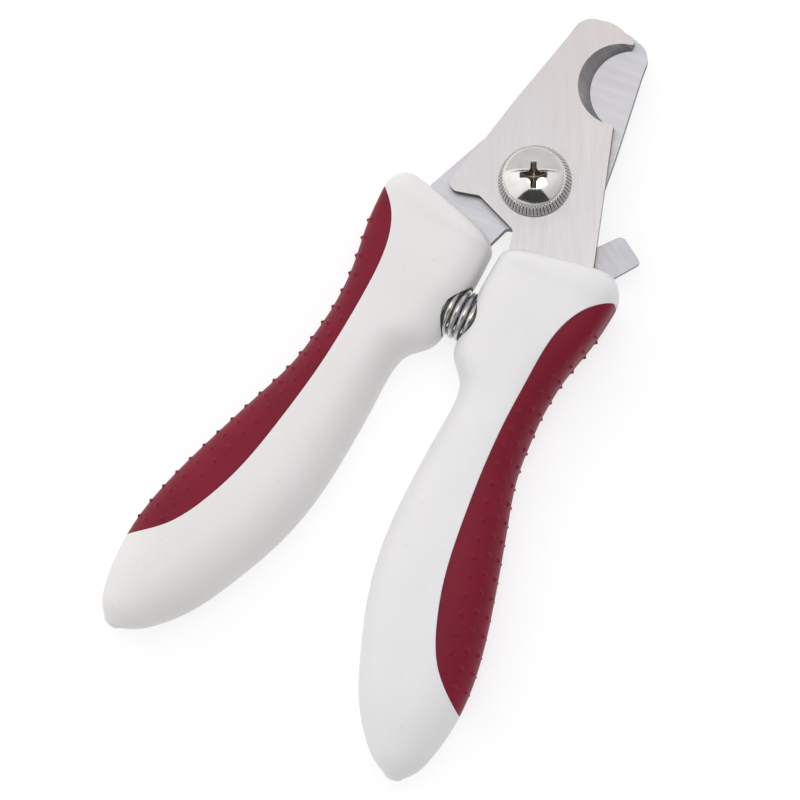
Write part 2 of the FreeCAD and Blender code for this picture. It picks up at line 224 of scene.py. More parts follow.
def with_modifier(obj, kind, **settings):
    """Adds a modifier, applies it and drops it."""
    modifier = obj.modifiers.new(kind, kind)
    for key, value in settings.items():
        setattr(modifier, key, value)
    bpy.context.view_layer.update()
    evaluated = obj.evaluated_get(bpy.context.evaluated_depsgraph_get())
    applied = bpy.data.meshes.new_from_object(evaluated)
    obj.modifiers.clear()
    old = obj.data
    obj.data = applied
    applied.name = obj.name
    bpy.data.meshes.remove(old)


def cut(obj, *tools):
    """Cuts tools out of an object and removes them."""
    for tool in tools:
        with_modifier(obj, "BOOLEAN", operation="DIFFERENCE", solver="EXACT", object=tool)
    for tool in tools:
        bpy.data.objects.remove(tool)


def bevel(obj, width, angle=38.0, segments=2):
    """Breaks the sharp edges."""
    with_modifier(obj, "BEVEL", width=width * MM, segments=segments, limit_method="ANGLE",
                  angle_limit=math.radians(angle), use_clamp_overlap=True, harden_normals=False)


def half_turn(obj, name):
    """The left half's twin of a right-half piece: half a turn about the centre line."""
    twin = bpy.data.objects.new(name, obj.data.copy())
    bpy.context.scene.collection.objects.link(twin)
    to_axis = Matrix.Translation((0, 0, -MID_Z * MM))
    twin.data.transform(to_axis.inverted() @ Matrix.Rotation(math.pi, 4, "Y") @ to_axis)
    return twin


def rest_flat(obj):
    """Flattens what would dip under the resting surface."""
    for vertex in obj.data.vertices:
        vertex.co.z = max(vertex.co.z, 0.0)


def ring_faces(rows, columns, closed_columns=True):
    """Quads between consecutive rows of points."""
    faces = []
    last = columns if closed_columns else columns - 1
    for i in range(rows - 1):
        for j in range(last):
            k = (j + 1) % columns
            faces.append((i * columns + j, i * columns + k, (i + 1) * columns + k, (i + 1) * columns + j))
    return faces


def tube(name, rings):
    """Closed solid from rings of points, with flat ends."""
    rows, columns, _ = rings.shape
    faces = ring_faces(rows, columns)
    faces.append(tuple(range(columns))[::-1])
    faces.append(tuple((rows - 1) * columns + j for j in range(columns)))
    return new_object(name, rings.reshape(-1, 3), faces)


def prism(name, outline, bottom, top, lean=(0.0, 0.0)):
    """Flat plate from an outline; lean shifts its top sideways."""
    low = [(p[0], p[1], bottom) for p in outline]
    high = [(p[0] + lean[0], p[1] + lean[1], top) for p in outline]
    return tube(name, np.array([low, high], float))


def circle(radius, x=0.0, y=0.0, count=96):
    """Outline of a circle."""
    turns = [2 * math.pi * i / count for i in range(count)]
    return [(x + radius * math.cos(t), y + radius * math.sin(t)) for t in turns]


def turned(name, profile, count=96, ripple=None, x=0.0, y=0.0):
    """Solid of revolution about an upright axis, from (radius, z) points.

    ripple(angle, index) is taken off the radius. The profile is closed when it starts and
    ends at the same place, and otherwise runs from the axis to the axis."""
    angles = [2 * math.pi * i / count for i in range(count)]
    points = []
    for index, (radius, z) in enumerate(profile):
        for angle in angles:
            r = radius - (ripple(angle, index) if ripple else 0.0)
            points.append((x + r * math.cos(angle), y + r * math.sin(angle), z))
    return new_object(name, points, ring_faces(len(profile), count))


# ---- handle surface ------------------------------------------------------------------
stations = np.array([(*inner, *outer, height, power) for inner, outer, height, power in HANDLE_STATIONS])
station_places = chord_lengths((stations[:, :2] + stations[:, 2:4]) / 2)
HANDLE_LENGTH = station_places[-1]
FRONT_ROUND = 0.7
TAIL_ROUND = 0.7
SHARES = np.linspace(0, 1, 500)
FINE = np.pi * (SHARES - np.sin(4 * np.pi * SHARES) / (4 * np.pi))   # fine where the section is flat
grip_knots = chord_lengths(GRIP_LINE)
grip_curve = spline(grip_knots, GRIP_LINE, np.linspace(0, grip_knots[-1], 900))


def section(place):
    """One handle section: centre, direction across, half width, half height, exponent."""
    row = spline(station_places, stations, [np.clip(place, 0, HANDLE_LENGTH)])[0]
    inner, outer = row[:2], row[2:4]
    across = (outer - inner) / np.linalg.norm(outer - inner)
    half_width = np.linalg.norm(outer - inner) / 2
    half_height, power = row[4], row[5]
    centre = (inner + outer) / 2
    if place < FRONT_ROUND:
        shrink = FRONT_ROUND * (1 - math.sqrt(1 - (1 - place / FRONT_ROUND) ** 2))
        half_width -= shrink
        half_height -= shrink
    if place > HANDLE_LENGTH:
        beyond = min((place - HANDLE_LENGTH) / TAIL_ROUND, 1.0)
        keep = max(math.sqrt(1 - beyond ** 2), 0.02)
        half_width *= keep
        half_height *= keep
        centre = centre + np.array([across[1], -across[0]]) * (place - HANDLE_LENGTH)
    return centre, across, half_width, half_height, power


def upper_curve(half_width, half_height, power):
    """Dense (across, up) points of a section's upper half, outermost point first."""
    c, s = np.cos(FINE), np.sin(FINE)
    side = np.sign(c) * np.abs(c) ** (2 / power) * half_width
    return np.stack([side, np.abs(s) ** (2 / power) * half_height], axis=1)


def grip_crossing(centre, across, half_width):
    """Distance across, from the section's centre, at which the grip starts."""
    normal = np.array([-across[1], across[0]])
    height = (grip_curve - centre) @ normal
    reach = (grip_curve - centre) @ across
    hits = np.nonzero(height[:-1] * height[1:] <= 0)[0]
    if len(hits) == 0:
        return half_width
    k = hits[0]
    share = height[k] / (height[k] - height[k + 1])
    return min(reach[k] + share * (reach[k + 1] - reach[k]), half_width)


def along(curve, start, end, count, edge_start=0.0, edge_end=0.0):
    """Points of a curve between two arc positions, closer together at rounded edges.

    The points between the edges keep fixed shares of the whole curve, so that they line up
    from ring to ring. Each rounded edge drops the surface inwards by a quarter circle."""
    arc = chord_lengths(curve)
    total = end - start
    near = np.array([0.0, 0.08, 0.29, 0.6, 1.0])
    first = np.minimum(near * edge_start, total * near / 4) if edge_start else np.array([0.0])
    last = total - (np.minimum(near * edge_end, total * near / 4)[::-1] if edge_end else np.array([0.0]))
    middle = np.clip(np.linspace(0, arc[-1], count)[1:-1] - start, first[-1], last[0])
    places = np.concatenate([first, middle, last])
    points = np.stack([np.interp(places + start, arc, curve[:, i]) for i in (0, 1)], axis=1)
    ahead = np.stack([np.interp(places + start + 0.01, arc, curve[:, i]) for i in (0, 1)], axis=1)
    behind = np.stack([np.interp(places + start - 0.01, arc, curve[:, i]) for i in (0, 1)], axis=1)
    tangent = ahead - behind
    tangent /= np.maximum(np.linalg.norm(tangent, axis=1), 1e-9)[:, None]
    inward = np.stack([-tangent[:, 1], tangent[:, 0]], axis=1)
    drop = np.zeros(len(places))
    for radius, distance in ((edge_start, places), (edge_end, total - places)):
        if radius:
            short = np.clip(1 - distance / radius, 0, 1)
            drop += radius * (1 - np.sqrt(1 - short ** 2)) * min(1.0, total / (4 * radius))
    return points + inward * drop[:, None]


def to_space(centre, across, flat):
    """(across, up) points of a section into space."""
    xy = centre + flat[:, :1] * across
    return np.column_stack([xy, MID_Z + flat[:, 1]])


def grip_range():
    """Places along the handle at which the grip starts and ends."""
    places = np.linspace(0, HANDLE_LENGTH, 1200)
    has = []
    for place in places:
        centre, across, half_width, _, _ = section(place)
        has.append(grip_crossing(centre, across, half_width) < half_width - 1e-6)
    inside = np.nonzero(has)[0]
    return places[inside[0]], places[inside[-1]]


GRIP_START, GRIP_END = grip_range()
SEAM_ROUND = 0.14
SHELL_EDGE_ROUND = 0.14
GRIP_EDGE_ROUND = 0.24
CORE_POINTS = 14
SHELL_ROWS = 170
SHELL_COLUMNS = 90
GRIP_ROWS = 420
GRIP_COLUMNS = 120


def clustered(start, end, count, power=2.0):
    """Places from start to end, closer together at both ends."""
    t = np.linspace(-1, 1, count)
    t = np.sign(t) * (1 - (1 - np.abs(t)) ** power)
    return start + (end - start) * (t + 1) / 2


def under_grip(centre, across, half_width, half_height, power):
    """Foot of the wall under the grip's edge, and the core's curve from there outwards."""
    edge = grip_crossing(centre, across, half_width)
    if edge >= half_width - GRIP_SKIN:
        return edge, np.tile((edge, 0.0), (CORE_POINTS, 1))
    core = upper_curve(half_width - GRIP_SKIN, half_height - GRIP_SKIN, power)
    arc = chord_lengths(core)
    places = np.linspace(0, np.interp(-edge, -core[:, 0], arc), CORE_POINTS)
    return edge, np.stack([np.interp(places, arc, core[:, i]) for i in (0, 1)], axis=1)


def shell_rings(places, lower):
    """Rings of one hard shell: skin, parting plane, core under the grip, wall."""
    rings = []
    for place in places:
        centre, across, half_width, half_height, power = section(place)
        curve = upper_curve(half_width, half_height, power)
        edge, core = under_grip(centre, across, half_width, half_height, power)
        arc = chord_lengths(curve)
        gripped = GRIP_START <= place <= GRIP_END
        start = np.interp(-edge, -curve[:, 0], arc) if gripped else 0.0
        skin = along(curve, start, arc[-1], SHELL_COLUMNS, SHELL_EDGE_ROUND, SEAM_ROUND)
        if not gripped:
            core = np.tile((skin[0][0], 0.0), (CORE_POINTS, 1))
        plane_sides = np.linspace(skin[-1][0], core[0][0], 8)[1:-1]
        plane = np.column_stack([plane_sides, np.zeros(len(plane_sides))])
        wall_top = skin[0]
        wall = core[-1] + (wall_top - core[-1]) * np.linspace(0, 1, 4)[1:-1, None]
        flat = np.concatenate([skin, plane, core, wall])
        if lower:
            flat = flat * (1, -1)
        rings.append(to_space(centre, across, flat))
    return np.array(rings)


def shell_places():
    """Places of the shell's rings, closer at the ends of the grip and of the handle."""
    front = np.linspace(0, 1, 6) ** 2 * FRONT_ROUND
    body = np.linspace(FRONT_ROUND, GRIP_START, 8)[1:-1]
    grip = clustered(GRIP_START, GRIP_END, SHELL_ROWS, 1.35)
    tail = np.linspace(GRIP_END, HANDLE_LENGTH, 26)[1:]
    end = HANDLE_LENGTH + TAIL_ROUND * np.sin(np.linspace(0, 1, 7)[1:] * math.pi / 2)
    return np.concatenate([front, body, grip, tail, end])


def grip_grid():
    """Skin and inner side of the grip as two grids over the same rows."""
    places = clustered(GRIP_START, GRIP_END, GRIP_ROWS, 1.25)[1:-1]
    skins = []
    inners = []
    for place in places:
        centre, across, half_width, half_height, power = section(place)
        curve = upper_curve(half_width, half_height, power)
        edge, core = under_grip(centre, across, half_width, half_height, power)
        arc = chord_lengths(curve)
        reach = np.interp(-edge, -curve[:, 0], arc)
        half = along(curve, 0.0, reach, GRIP_COLUMNS, 0.0, GRIP_EDGE_ROUND)[::-1]
        whole = np.concatenate([half, half[-2::-1] * (1, -1)])
        skins.append(to_space(centre, across, whole))
        inner = np.concatenate([core[::-1], core[1:] * (1, -1)])
        inners.append(to_space(centre, across, inner))
    return np.array(skins), np.array(inners)


def grid_normals(grid):
    """Outward unit normals of a grid of points."""
    lengthwise = np.gradient(grid, axis=0)
    crosswise = np.gradient(grid, axis=1)
    normal = np.cross(lengthwise, crosswise)
    return normal / np.maximum(np.linalg.norm(normal, axis=2, keepdims=True), 1e-12)


BUMP_HEIGHT = 0.5
BUMP_RADIUS = 0.72
BUMP_PITCH = 4.05
BUMP_ROWS = [(2.8, 0.0, -24.0), (5.5, 0.0, -24.0), (7.05, 0.5, -40.0)]  # height, phase, from y


def bump_centres():
    """Places of the raised bumps on the grip, in rows along it."""
    outer = spline(station_places, stations[:, 2:4], np.linspace(0, HANDLE_LENGTH, 900))
    walk = chord_lengths(outer)
    places = np.linspace(0, HANDLE_LENGTH, 900)
    first = np.interp(24.0, -outer[:, 1], walk)
    centres = []
    for height, phase, front in BUMP_ROWS:
        for i in range(30):
            place = np.interp(first + (i + phase) * BUMP_PITCH, walk, places)
            centre, across, half_width, half_height, power = section(place)
            if centre[1] > front or place > GRIP_END - 2.0:
                continue
            curve = upper_curve(half_width, half_height, power)
            if height > half_height * 0.93:
                continue
            rising = curve[curve[:, 0] > 0]
            side = np.interp(height, rising[:, 1], rising[:, 0])
            if side < grip_crossing(centre, across, half_width) + 1.3:
                continue
            for sign in (1, -1):
                centres.append(to_space(centre, across, np.array([[side, sign * height]]))[0])
    return centres


def add_bumps(skin):
    """Raises small pointed bumps on the grip's skin."""
    normals = grid_normals(skin)
    lift = np.zeros(skin.shape[:2])
    for centre in bump_centres():
        distance = np.linalg.norm(skin - centre, axis=2) / BUMP_RADIUS
        near = distance < 1
        shape = (0.5 + 0.5 * np.cos(np.pi * distance[near])) ** 1.15
        lift[near] = np.maximum(lift[near], BUMP_HEIGHT * shape)
    return skin + normals * lift[..., None]


def make_grip(name):
    """Soft grip: bumped skin, inner side on the core, and the edge between them."""
    skin, inner = grip_grid()
    skin = add_bumps(skin)
    rings = np.concatenate([skin, inner[:, ::-1]], axis=1)
    obj = tube(name, rings)
    smooth(obj, 50)
    return obj


def make_shell(name, lower):
    """One hard shell of the right handle."""
    return tube(name, shell_rings(shell_places(), lower))


# ---- pieces --------------------------------------------------------------------------
def dress(obj, body, node, material):
    """Rides a piece on its body, stands it for its node and paints it."""
    obj.data.materials.clear()
    for each in material if isinstance(material, (list, tuple)) else [material]:
        obj.data.materials.append(each)
    if body:
        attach(obj, body)
    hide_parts(node)
    return obj


def spring_seat():
    """Tools for the spring's pocket, with a stud left standing in it."""
    count = 72
    rings = []
    for radius, x in ((POCKET_RADIUS, -POCKET_END), (POCKET_RADIUS, POCKET_END),
                      (STUD_RADIUS, POCKET_END), (STUD_RADIUS, STUD_TIP), (0.01, STUD_TIP)):
        turns = np.linspace(0, 2 * np.pi, count, endpoint=False)
        y = SPRING_Y + radius * np.cos(turns)
        rings.append(np.column_stack([np.full(count, x), y, MID_Z + radius * np.sin(turns)]))
    return tube("spring_seat", np.array(rings))


def make_blade(name, bore, notch_out=0.0):
    """Blade with tang, oblique half-moon notch and bores."""
    obj = prism(name, rounded_outline(BLADE_OUTLINE), BLADE_BOTTOM, BLADE_TOP)
    lean = np.array([NOTCH_FACE[0] - NOTCH_EDGE[0], NOTCH_FACE[1] - NOTCH_EDGE[1]])
    start = circle(NOTCH_RADIUS, NOTCH_EDGE[0] + notch_out - lean[0], NOTCH_EDGE[1] - lean[1], 180)
    thick = BLADE_TOP - MID_Z
    notch = prism("notch", start, MID_Z - thick, BLADE_TOP + thick, tuple(3 * lean))
    tools = [notch, prism("bore", circle(bore), 0, OVER_ALL)]
    for x, y in PIN_PLACES:
        tools.append(prism("pin_hole", circle(PIN_RADIUS, x, y, 32), 0, OVER_ALL))
    cut(obj, *tools)
    return obj


def mark_faces(obj):
    """Second material on the oblique face of the notch, third, a near-black painted shade, on the upright
    edge walls.
    """
    for face in obj.data.polygons:
        if 0.3 < abs(face.normal.z) < 0.97 and face.area > 2e-7:
            face.material_index = 1
        elif abs(face.normal.z) < 0.2:
            face.material_index = 2


def resampled(outline, step):
    """Closed outline with extra points along its straight runs."""
    points = []
    for i, first in enumerate(outline):
        second = outline[(i + 1) % len(outline)]
        pieces = max(1, math.ceil((second - first).length / step))
        points += [tuple(first.lerp(second, j / pieces)) for j in range(pieces)]
    return np.array(points)


def cross_outline(reach, half_arm, flare, turn):
    """Outline of a cross with flared inner corners."""
    corners = []
    for quarter in range(4):
        spin = Matrix.Rotation(math.radians(turn + 90 * quarter), 2)
        for x, y, radius in ((reach, -half_arm, 0.3), (reach, half_arm, 0.3), (half_arm, half_arm, flare)):
            corners.append((*(spin @ Vector((x, y))), radius))
    return rounded_outline(corners)


def make_screw():
    """Polished domed head with a tapering cross recess, and the shank down into the nut."""
    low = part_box("pivot_screw")[0].z / MM
    seat = SCREW_TOP - HEAD_DOME - HEAD_RIM
    edge = resampled(cross_outline(RECESS_REACH, RECESS_ARM, RECESS_FLARE, RECESS_TURN), 0.12)
    reach = np.linalg.norm(edge, axis=1)
    ways = edge / reach[:, None]

    def dome(radii):
        return SCREW_TOP - HEAD_BALL + np.sqrt(HEAD_BALL ** 2 - radii ** 2)

    rings = []
    for share, depth in ((0.0, RECESS_FLOOR), (0.3, 1.9), (0.42, 1.75), (0.9, 0.34), (0.955, 0.12)):
        rings.append((reach * share, np.full(len(reach), SCREW_TOP - depth)))
    for step in (-0.05, -0.02):
        rings.append((reach + step, dome(reach + step) + 1.4 * step))
    for share in np.linspace(0, 1, 30):
        radii = reach + 0.02 + (HEAD_RADIUS - 0.2 - reach) * share
        rings.append((radii, dome(radii)))
    for radius, height in ((HEAD_RADIUS - 0.1, seat + 0.49), (HEAD_RADIUS - 0.03, seat + 0.42),
                           (HEAD_RADIUS, seat + 0.32), (HEAD_RADIUS, seat + 0.06), (HEAD_RADIUS - 0.06, seat),
                           (SCREW_RADIUS, seat), (SCREW_RADIUS, low + 0.4), (SCREW_RADIUS - 0.4, low),
                           (0.0, low)):
        rings.append((np.full(len(reach), radius), np.full(len(reach), height)))
    points = [np.column_stack([ways * radii[:, None], heights]) for radii, heights in rings]
    obj = new_object("pivot_screw_fine", np.concatenate(points), ring_faces(len(rings), len(reach)))
    smooth(obj, 30)
    return obj


def mark_recess(obj):
    """Second material, a dark brownish painted shade, inside the driver recess."""
    for face in obj.data.polygons:
        radius = math.hypot(face.center.x, face.center.y - PIVOT.y) / MM
        if radius < RECESS_REACH:
            dome = SCREW_TOP - HEAD_BALL + math.sqrt(HEAD_BALL ** 2 - radius ** 2)
            if SCREW_TOP - 2.3 < face.center.z / MM < dome - 0.06:
                face.material_index = 1


def make_collar():
    """Conical washer with rounded ribs down its flank."""
    low, high = (corner.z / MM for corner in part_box("knurled_collar"))
    shares = [0.0, 0.1, 0.14, 0.2, 0.35, 0.5, 0.65, 0.8, 0.9, 0.96, 1.0]
    fade = [0.0, 0.0, 0.6, 1.0, 1.0, 1.0, 1.0, 1.0, 0.85, 0.5, 0.0]
    drop = [0.2, 0.15, 0.05, 0.0, 0.0, 0.0, 0.0, 0.0, 0.02, 0.08, 0.2]
    lean = COLLAR_BASE_RADIUS - COLLAR_TOP_RADIUS
    flank = [(COLLAR_BASE_RADIUS - 0.05 - lean * share - inset, low + (high - low) * share)
             for share, inset in zip(shares, drop)]
    bore = SCREW_RADIUS + 0.02
    profile = [(bore, low)] + flank + [(bore, high), (bore, low)]
    fades = [0.0] + fade + [0.0, 0.0]

    def ripple(angle, index):
        beside = abs(angle * COLLAR_RIBS / (2 * math.pi) % 1 - 0.5) * 2
        return fades[index] * RIB_DEPTH * (1 - math.sqrt(1 - (1 - beside) ** 2))

    obj = turned("knurled_collar_fine", profile, COLLAR_RIBS * 12, ripple)
    smooth(obj, 50)
    return obj


def mark_grooves(obj):
    """Second material, a dark painted shade, between the collar's ribs and in the undercut at its foot."""
    low, high = (corner.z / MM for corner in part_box("knurled_collar"))
    for face in obj.data.polygons:
        radius = math.hypot(face.center.x, face.center.y - PIVOT.y) / MM
        share = (face.center.z / MM - low) / (high - low)
        cone = COLLAR_BASE_RADIUS - 0.05 - (COLLAR_BASE_RADIUS - COLLAR_TOP_RADIUS) * share
        if radius > 5.5 and (share < 0.11 or 0.16 < share < 0.95 and cone - radius > 0.45 * RIB_DEPTH):
            face.material_index = 1


def ring_piece(node, inner, edge=0.08, x=0.0, y=0.0):
    """Flat ring with broken edges, as big as its CAD node."""
    low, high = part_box(node)
    outer = (high.x - low.x) / 2 / MM
    bottom, top = low.z / MM, high.z / MM
    profile = [(inner, bottom), (outer - edge, bottom), (outer, bottom + edge), (outer, top - edge),
               (outer - edge, top), (inner, top), (inner, bottom)]
    obj = turned(node + "_fine", profile, x=x, y=y)
    smooth(obj)
    return obj


def make_spring_washer():
    """Dished washer, wide side up."""
    low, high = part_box("spring_washer")
    outer = (high.x - low.x) / 2 / MM
    bottom, top = low.z / MM, high.z / MM
    half = (top - bottom) / 2
    profile = [(SCREW_RADIUS, bottom), (outer - 0.86, bottom), (outer - 0.78, bottom + 0.08),
               (outer, top - 0.06), (outer - 0.06, top), (SCREW_RADIUS + 3 * half, top),
               (SCREW_RADIUS + half, top - half), (SCREW_RADIUS, top - half), (SCREW_RADIUS, bottom)]
    obj = turned("spring_washer_fine", profile)
    smooth(obj)
    return obj


def make_nut():
    """Thin hexagon nut with turned-down corners."""
    low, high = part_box("pivot_nut")
    corner = (high.x - low.x) / 2 / MM
    bottom, top = low.z / MM, high.z / MM
    obj = prism("pivot_nut_fine", circle(corner, count=6), bottom, top)
    envelope = turned("envelope", [(0, bottom), (corner - 0.8, bottom), (corner + 0.2, bottom + 0.9),
                                   (corner + 0.2, top), (0, top)])
    with_modifier(obj, "BOOLEAN", operation="INTERSECT", solver="EXACT", object=envelope)
    bpy.data.objects.remove(envelope)
    cut(obj, prism("bore", circle(SCREW_RADIUS), bottom - 1, top + 1))
    bevel(obj, 0.06)
    smooth(obj)
    return obj


def make_lever():
    """Flat lever with broken edges; its tab sticks out between the blades and the handle."""
    low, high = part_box("lock_lever")
    obj = prism("lock_lever_fine", rounded_outline(LEVER_OUTLINE, 5.0), low.z / MM, high.z / MM)
    cut(obj, prism("bore", circle(RIVET_RADIUS + RUNNING_CLEARANCE, *LEVER_PIVOT), 0, OVER_ALL))
    bevel(obj, 0.13, segments=3)
    smooth(obj, 30)
    return obj


def make_rivet():
    """Rivet with a flat head under the lever."""
    low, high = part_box("lever_rivet")
    head = (high.x - low.x) / 2 / MM
    bottom, top = low.z / MM, high.z / MM
    profile = [(0, bottom), (head - 0.2, bottom), (head, bottom + 0.2), (head, bottom + RIVET_HEAD_THICK),
               (RIVET_RADIUS, bottom + RIVET_HEAD_THICK), (RIVET_RADIUS, top - 0.06),
               (RIVET_RADIUS - 0.06, top), (0, top)]
    obj = turned("lever_rivet_fine", profile, 64, x=LEVER_PIVOT[0], y=LEVER_PIVOT[1])
    smooth(obj)
    return obj


def make_pin(name, x, y):
    """Dowel with chamfered ends."""
    low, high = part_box("right_tang_pins")
    bottom, top = low.z / MM, high.z / MM
    profile = [(0, bottom), (PIN_RADIUS - 0.2, bottom), (PIN_RADIUS, bottom + 0.2), (PIN_RADIUS, top - 0.2),
               (PIN_RADIUS - 0.2, top), (0, top)]
    obj = turned(name, profile, 48, x=x, y=y)
    smooth(obj)
    return obj


def make_spring():
    """Coil of round wire across the centre line."""
    per_turn, around = 64, 18
    angles = np.linspace(0, 2 * np.pi * SPRING_TURNS, per_turn * SPRING_TURNS + 1)
    x = np.linspace(-SPRING_HALF_LENGTH, SPRING_HALF_LENGTH, len(angles))
    out = np.column_stack([np.zeros(len(angles)), np.sin(angles), -np.cos(angles)])
    axis = np.column_stack([x, np.full(len(angles), SPRING_Y), np.full(len(angles), MID_Z)])
    middle = axis + out * SPRING_RADIUS
    lead = SPRING_HALF_LENGTH / (np.pi * SPRING_TURNS * SPRING_RADIUS)
    advance = np.column_stack([np.zeros(len(angles)), np.cos(angles), np.sin(angles)])
    side = np.array([1.0, 0.0, 0.0]) - lead * advance
    side /= np.linalg.norm(side, axis=1)[:, None]
    turns = np.linspace(0, 2 * np.pi, around, endpoint=False)
    rings = (middle[:, None, :] + SPRING_WIRE * (np.cos(turns)[None, :, None] * out[:, None, :]
                                                 + np.sin(turns)[None, :, None] * side[:, None, :]))
    obj = tube("return_spring_fine", rings)
    smooth(obj, 60)
    return obj


# ---- materials -----------------------------------------------------------------------
def material(name, **constants):
    """Material whose constant values sit on the shader's own sockets."""
    made = bpy.data.materials.new(name)
    made.use_nodes = True
    shader = made.node_tree.nodes["Principled BSDF"]
    for socket, value in constants.items():
        shader.inputs[socket.replace("_", " ")].default_value = value
    return made


def node(mat, kind, **settings):
    """New node in a material."""
    made = mat.node_tree.nodes.new(kind)
    for key, value in settings.items():
        setattr(made, key, value)
    return made


def feed(mat, socket, source):
    """Links a source into a shader socket by name."""
    mat.node_tree.links.new(source, mat.node_tree.nodes["Principled BSDF"].inputs[socket])


def noise(mat, size, turn=0.0, detail=3.0, roughness=0.55):
    """Noise with features of a size (x, y, z) in millimetres, turned about the upright axis."""
    coordinates = node(mat, "ShaderNodeTexCoord")
    mapping = node(mat, "ShaderNodeMapping", vector_type="TEXTURE")
    mapping.inputs["Rotation"].default_value = (0, 0, math.radians(turn))
    mapping.inputs["Scale"].default_value = [each * MM for each in size]
    texture = node(mat, "ShaderNodeTexNoise")
    texture.inputs["Scale"].default_value = 1.0
    texture.inputs["Detail"].default_value = detail
    texture.inputs["Roughness"].default_value = roughness
    mat.node_tree.links.new(coordinates.outputs["Object"], mapping.inputs["Vector"])
    mat.node_tree.links.new(mapping.outputs["Vector"], texture.inputs["Vector"])
    return texture.outputs["Fac"]


def ramp(mat, factor, *stops):
    """Colour ramp over a factor, from (place, colour) stops."""
    made = node(mat, "ShaderNodeValToRGB")
    elements = made.color_ramp.elements
    while len(elements) < len(stops):
        elements.new(0.5)
    for element, (place, colour) in zip(elements, stops):
        element.position = place
        element.color = (*colour, 1.0)
    mat.node_tree.links.new(factor, made.inputs["Fac"])
    return made.outputs["Color"]


def spread(mat, factor, low, high, start=0.3, end=0.7):
    """Maps a factor from start..end to low..high."""
    made = node(mat, "ShaderNodeMapRange")
    for socket, value in (("From Min", start), ("From Max", end), ("To Min", low), ("To Max", high)):
        made.inputs[socket].default_value = value
    mat.node_tree.links.new(factor, made.inputs["Value"])
    return made.outputs["Result"]


def blend_colours(mat, factor, first, second, mode="MIX"):
    """Mixes two colour outputs by a factor output or number."""
    made = node(mat, "ShaderNodeMix", data_type="RGBA", blend_type=mode)
    if isinstance(factor, float):
        made.inputs["Factor"].default_value = factor
    else:
        mat.node_tree.links.new(factor, made.inputs["Factor"])
    mat.node_tree.links.new(first, made.inputs[6])
    mat.node_tree.links.new(second, made.inputs[7])
    return made.outputs[2]


def bump(mat, height, depth, under=None):
    """Bump of a depth in millimetres, over another bump if given."""
    made = node(mat, "ShaderNodeBump")
    made.inputs["Distance"].default_value = depth * MM
    mat.node_tree.links.new(height, made.inputs["Height"])
    if under:
        mat.node_tree.links.new(under, made.inputs["Normal"])
    return made.outputs["Normal"]


def brushed_steel(name, dark, light, turn, line=0.16, run=9.0, rough=(0.34, 0.5), depth=0.004):
    """Steel with fine grinding lines at an angle to the centre line."""
    mat = material(name, Metallic=1.0)
    fine = noise(mat, (line, run, run), turn, 4.0)
    broad = noise(mat, (line * 7, run * 3, run * 3), turn, 2.0)
    cloud = noise(mat, (22, 30, 22), 0.0, 1.5)
    lines = ramp(mat, fine, (0.3, dark), (0.7, light))
    bands = ramp(mat, broad, (0.3, dark), (0.7, light))
    both = blend_colours(mat, 0.45, lines, bands)
    tint = ramp(mat, cloud, (0.35, (1.0, 0.975, 0.965)), (0.65, (0.965, 0.965, 0.995)))
    feed(mat, "Base Color", blend_colours(mat, 1.0, both, tint, "MULTIPLY"))
    feed(mat, "Roughness", spread(mat, fine, *rough))
    feed(mat, "Normal", bump(mat, fine, depth))
    return mat


def polished(name, dark, light, rough=(0.05, 0.12), size=(3.0, 3.0, 3.0), depth=0.0012):
    """Bright plated metal with faint wiping marks."""
    mat = material(name, Metallic=1.0)
    cloud = noise(mat, size, 0.0, 3.0)
    wiping = noise(mat, (0.12, 2.4, 0.12), 35.0, 3.0)
    feed(mat, "Base Color", ramp(mat, cloud, (0.35, dark), (0.65, light)))
    feed(mat, "Roughness", spread(mat, wiping, *rough))
    feed(mat, "Normal", bump(mat, wiping, depth))
    return mat


def white_plastic(name):
    """Moulded white plastic with a soft satin skin; painted light makes the left half warmer, the right
    cooler.
    """
    mat = material(name, Subsurface_Weight=0.08, Subsurface_Scale=0.002)
    across = node(mat, "ShaderNodeTexCoord")
    split = node(mat, "ShaderNodeSeparateXYZ")
    mat.node_tree.links.new(across.outputs["Object"], split.inputs["Vector"])
    # Painted light: the tone follows the sign of x, warmer on the left handle and cooler, a little brighter,
    # on the right.
    side = spread(mat, split.outputs["X"], 0.0, 1.0, -0.03, 0.03)
    cloud = noise(mat, (16, 22, 16), 0.0, 2.0)
    grain = noise(mat, (0.45, 0.45, 0.45), 0.0, 3.0)
    specks = noise(mat, (1.3, 1.3, 1.3), 0.0, 1.0)
    tone = ramp(mat, side, (0.0, (0.765, 0.742, 0.732)), (1.0, (0.775, 0.765, 0.78)))
    shade = ramp(mat, cloud, (0.35, (0.97, 0.97, 0.965)), (0.65, (1.0, 1.0, 1.0)))
    dots = ramp(mat, specks, (0.2, (0.93, 0.91, 0.87)), (0.27, (1.0, 1.0, 1.0)))
    base = blend_colours(mat, 1.0, tone, shade, "MULTIPLY")
    feed(mat, "Base Color", blend_colours(mat, 1.0, base, dots, "MULTIPLY"))
    feed(mat, "Roughness", spread(mat, grain, 0.36, 0.5))
    feed(mat, "Normal", bump(mat, grain, 0.006))
    return mat


